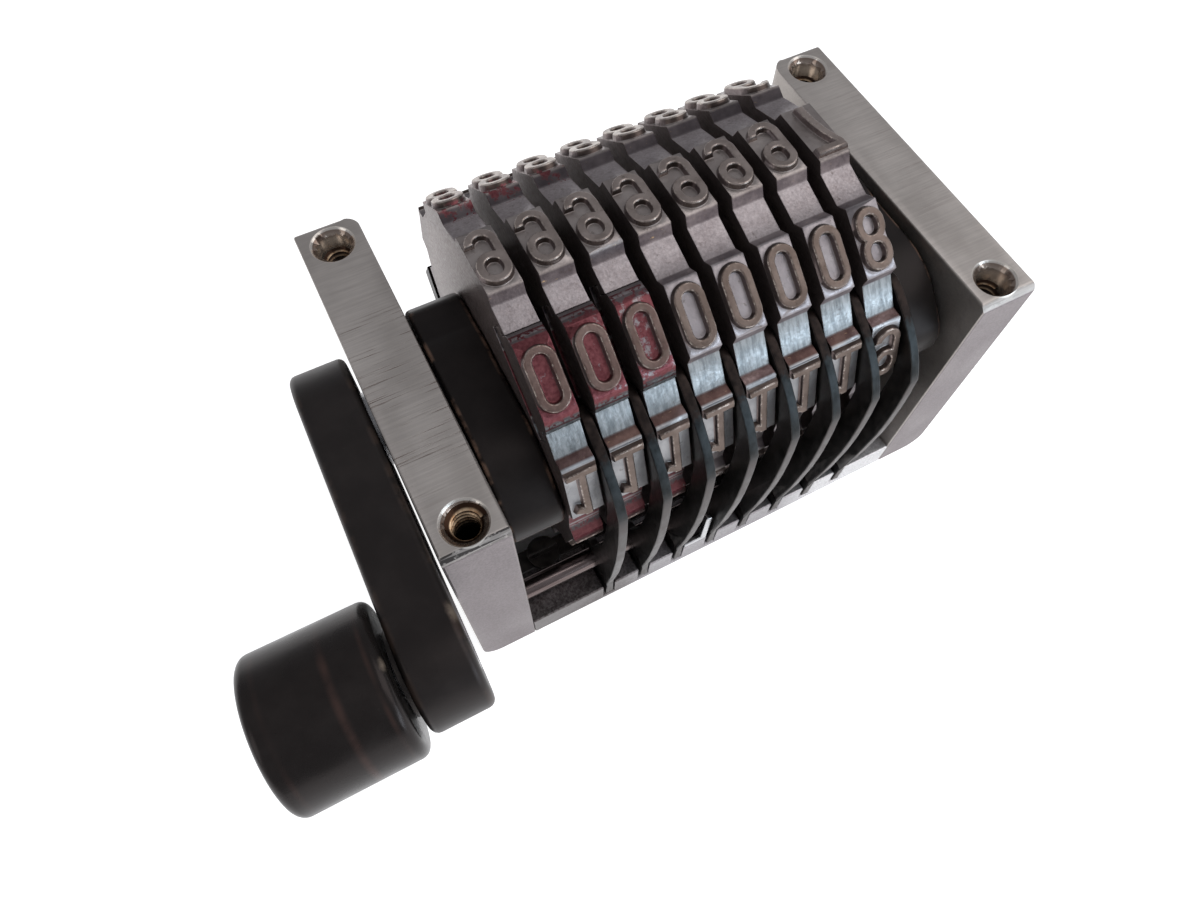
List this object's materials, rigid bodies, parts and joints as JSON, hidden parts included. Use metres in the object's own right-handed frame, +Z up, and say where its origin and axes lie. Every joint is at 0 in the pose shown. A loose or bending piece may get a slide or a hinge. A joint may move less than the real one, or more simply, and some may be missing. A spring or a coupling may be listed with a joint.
{
  "type": "numbering machine",
  "caption": "Steel numbering box: type wheels on a shaft between two side plates, detent levers in front, and a roller arm outside that advances the wheels.",
  "frame": {"origin": "middle of the four threaded holes in the side plates' top edges, straight above the shaft's axis", "axes": "+X along the shaft towards the units wheel, away from the roller arm; +Y to the rear, away from the detent levers; +Z up, square to the plates' top edges"},
  "size_m": [0.062, 0.0409, 0.0341],
  "materials": {
    "ground_steel": "ground, lightly scratched",
    "type_steel": "worn, satin",
    "blued_steel": "blued black, worn at the edges",
    "lever_steel": "dark spring steel",
    "bright_steel": "polished",
    "ratchet_steel": "dark, oiled",
    "bronze": "dull"
  },
  "bodies": {
    "frame": {"left_plate": "ground_steel", "right_plate": "ground_steel", "left_bush": "bronze", "right_bush": "bronze", "base_bar": "ground_steel", "bar_screws": "ratchet_steel", "bent_tab": "bright_steel", "rear_tie_rod": "bright_steel", "tie_screws": "ratchet_steel", "rocker_stop_pin": "bright_steel", "detent_rod": "bright_steel", "detent_spring_comb": "ratchet_steel", "spring_comb_screws": "ratchet_steel", "return_spring": "bright_steel"},
    "rocker": {"wheel_shaft": "bright_steel", "left_block": "blued_steel", "right_block": "blued_steel", "left_yoke_plate": "ratchet_steel", "right_yoke_plate": "ratchet_steel", "thrust_washer": "bronze", "feed_pin": "bright_steel", "feed_pawl_spring": "bright_steel", "swing_arm": "blued_steel", "arm_pin": "bright_steel", "roller_pin": "bright_steel", "roller_washers": "bright_steel", "roller_clip": "ratchet_steel"},
    "feed_comb": {"feed_pawl": "ratchet_steel"},
    "trip_roller": {"roller": "blued_steel"},
    "wheel_1": {"number_wheel_1": "type_steel", "ratchet_1": "ratchet_steel"},
    "wheel_2": {"number_wheel_2": "type_steel", "ratchet_2": "ratchet_steel"},
    "wheel_3": {"number_wheel_3": "type_steel", "ratchet_3": "ratchet_steel"},
    "wheel_4": {"number_wheel_4": "type_steel", "ratchet_4": "ratchet_steel"},
    "wheel_5": {"number_wheel_5": "type_steel", "ratchet_5": "ratchet_steel"},
    "wheel_6": {"number_wheel_6": "type_steel", "ratchet_6": "ratchet_steel"},
    "wheel_7": {"number_wheel_7": "type_steel", "ratchet_7": "ratchet_steel"},
    "wheel_8": {"number_wheel_8": "type_steel", "ratchet_8": "ratchet_steel"},
    "drop_1": {"drop_zero_1": "type_steel"},
    "drop_2": {"drop_zero_2": "type_steel"},
    "drop_3": {"drop_zero_3": "type_steel"},
    "lever_1": {"detent_lever_1": "lever_steel"},
    "lever_2": {"detent_lever_2": "lever_steel"},
    "lever_3": {"detent_lever_3": "lever_steel"},
    "lever_4": {"detent_lever_4": "lever_steel"},
    "lever_5": {"detent_lever_5": "lever_steel"},
    "lever_6": {"detent_lever_6": "lever_steel"},
    "lever_7": {"detent_lever_7": "lever_steel"},
    "lever_8": {"detent_lever_8": "lever_steel"}
  },
  "joints": [
    {"name": "rocker_swing", "type": "hinge", "parent": "frame", "child": "rocker", "pos_m": [0, 0, -0.0064], "axis": [1, 0, 0], "range_deg": [0, 40], "stiffness_Nm_per_rad": 0.02, "springref_deg": -34.38},
    {"name": "roller_spin", "type": "hinge", "parent": "rocker", "child": "trip_roller", "pos_m": [-0.0335, -0.0192, -0.0028], "axis": [1, 0, 0], "continuous": true},
    {"name": "feed_tilt", "type": "hinge", "parent": "rocker", "child": "feed_comb", "pos_m": [0, 0.01408, -0.01663], "axis": [1, 0, 0], "range_deg": [0, 6], "stiffness_Nm_per_rad": 0.002, "springref_deg": -11.46},
    {"name": "wheel_1_turn", "type": "hinge", "parent": "frame", "child": "wheel_1", "pos_m": [-0.0135, 0, -0.0064], "axis": [1, 0, 0], "continuous": true},
    {"name": "wheel_2_turn", "type": "hinge", "parent": "frame", "child": "wheel_2", "pos_m": [-0.0099, 0, -0.0064], "axis": [1, 0, 0], "continuous": true},
    {"name": "wheel_3_turn", "type": "hinge", "parent": "frame", "child": "wheel_3", "pos_m": [-0.0063, 0, -0.0064], "axis": [1, 0, 0], "continuous": true},
    {"name": "wheel_4_turn", "type": "hinge", "parent": "frame", "child": "wheel_4", "pos_m": [-0.0027, 0, -0.0064], "axis": [1, 0, 0], "continuous": true},
    {"name": "wheel_5_turn", "type": "hinge", "parent": "frame", "child": "wheel_5", "pos_m": [0.0009, 0, -0.0064], "axis": [1, 0, 0], "continuous": true},
    {"name": "wheel_6_turn", "type": "hinge", "parent": "frame", "child": "wheel_6", "pos_m": [0.0045, 0, -0.0064], "axis": [1, 0, 0], "continuous": true},
    {"name": "wheel_7_turn", "type": "hinge", "parent": "frame", "child": "wheel_7", "pos_m": [0.0081, 0, -0.0064], "axis": [1, 0, 0], "continuous": true},
    {"name": "wheel_8_turn", "type": "hinge", "parent": "frame", "child": "wheel_8", "pos_m": [0.0117, 0, -0.0064], "axis": [1, 0, 0], "continuous": true},
    {"name": "drop_1_slide", "type": "slide", "parent": "wheel_1", "child": "drop_1", "axis": [0, 0.5878, -0.809], "range_m": [0, 0.0008]},
    {"name": "drop_2_slide", "type": "slide", "parent": "wheel_2", "child": "drop_2", "axis": [0, 0.5878, -0.809], "range_m": [0, 0.0008]},
    {"name": "drop_3_slide", "type": "slide", "parent": "wheel_3", "child": "drop_3", "axis": [0, 0.5878, -0.809], "range_m": [0, 0.0008]},
    {"name": "lever_1_lift", "type": "hinge", "parent": "frame", "child": "lever_1", "pos_m": [-0.0117, -0.0123, -0.0208], "axis": [1, 0, 0], "range_deg": [0, 4], "stiffness_Nm_per_rad": 0.02, "springref_deg": -11.46},
    {"name": "lever_2_lift", "type": "hinge", "parent": "frame", "child": "lever_2", "pos_m": [-0.0081, -0.0123, -0.0208], "axis": [1, 0, 0], "range_deg": [0, 4], "stiffness_Nm_per_rad": 0.02, "springref_deg": -11.46},
    {"name": "lever_3_lift", "type": "hinge", "parent": "frame", "child": "lever_3", "pos_m": [-0.0045, -0.0123, -0.0208], "axis": [1, 0, 0], "range_deg": [0, 4], "stiffness_Nm_per_rad": 0.02, "springref_deg": -11.46},
    {"name": "lever_4_lift", "type": "hinge", "parent": "frame", "child": "lever_4", "pos_m": [-0.0009, -0.0123, -0.0208], "axis": [1, 0, 0], "range_deg": [0, 4], "stiffness_Nm_per_rad": 0.02, "springref_deg": -11.46},
    {"name": "lever_5_lift", "type": "hinge", "parent": "frame", "child": "lever_5", "pos_m": [0.0027, -0.0123, -0.0208], "axis": [1, 0, 0], "range_deg": [0, 4], "stiffness_Nm_per_rad": 0.02, "springref_deg": -11.46},
    {"name": "lever_6_lift", "type": "hinge", "parent": "frame", "child": "lever_6", "pos_m": [0.0063, -0.0123, -0.0208], "axis": [1, 0, 0], "range_deg": [0, 4], "stiffness_Nm_per_rad": 0.02, "springref_deg": -11.46},
    {"name": "lever_7_lift", "type": "hinge", "parent": "frame", "child": "lever_7", "pos_m": [0.0099, -0.0123, -0.0208], "axis": [1, 0, 0], "range_deg": [0, 4], "stiffness_Nm_per_rad": 0.02, "springref_deg": -11.46},
    {"name": "lever_8_lift", "type": "hinge", "parent": "frame", "child": "lever_8", "pos_m": [0.0135, -0.0123, -0.0208], "axis": [1, 0, 0], "range_deg": [0, 4], "stiffness_Nm_per_rad": 0.02, "springref_deg": -11.46}
  ]
}
